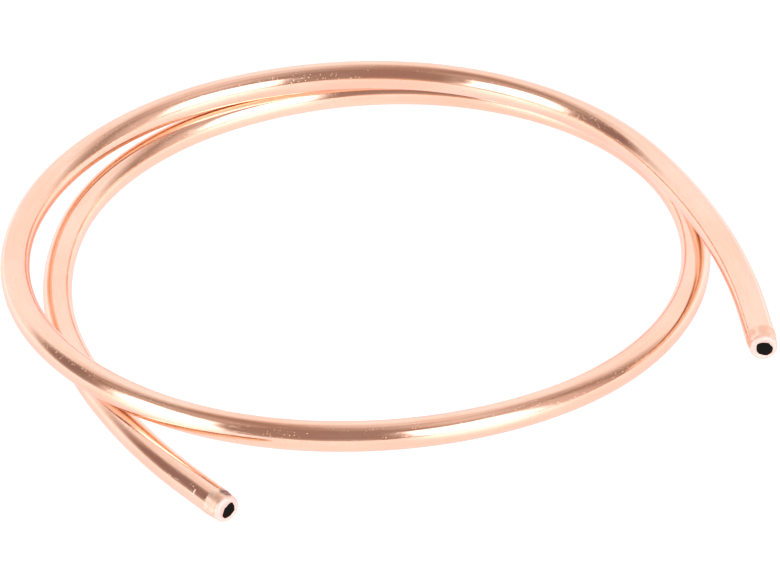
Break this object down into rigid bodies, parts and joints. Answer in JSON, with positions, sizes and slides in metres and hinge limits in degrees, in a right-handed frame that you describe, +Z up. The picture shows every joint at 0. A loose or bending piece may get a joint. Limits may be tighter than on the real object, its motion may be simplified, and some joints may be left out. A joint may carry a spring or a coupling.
{
  "type": "copper tube coil",
  "caption": "Loose open coil of bare soft copper tube with two square-cut ends, the second turn lying on the first.",
  "frame": {"origin": "on the floor under the middle of the coil's outline (bottom centre of its box)", "axes": "+Z up, square to the turns, which lie flat; +Y points from the side where both cut ends are, across the coil to its far side; +X to the right of that, towards the side where the upper end leaves"},
  "size_m": [0.2032, 0.2004, 0.0163],
  "materials": {
    "copper": "bright drawn copper, bare and unlacquered, with fine lengthwise draw lines"
  },
  "bodies": {
    "root": {"tube": "copper"}
  },
  "joints": []
}
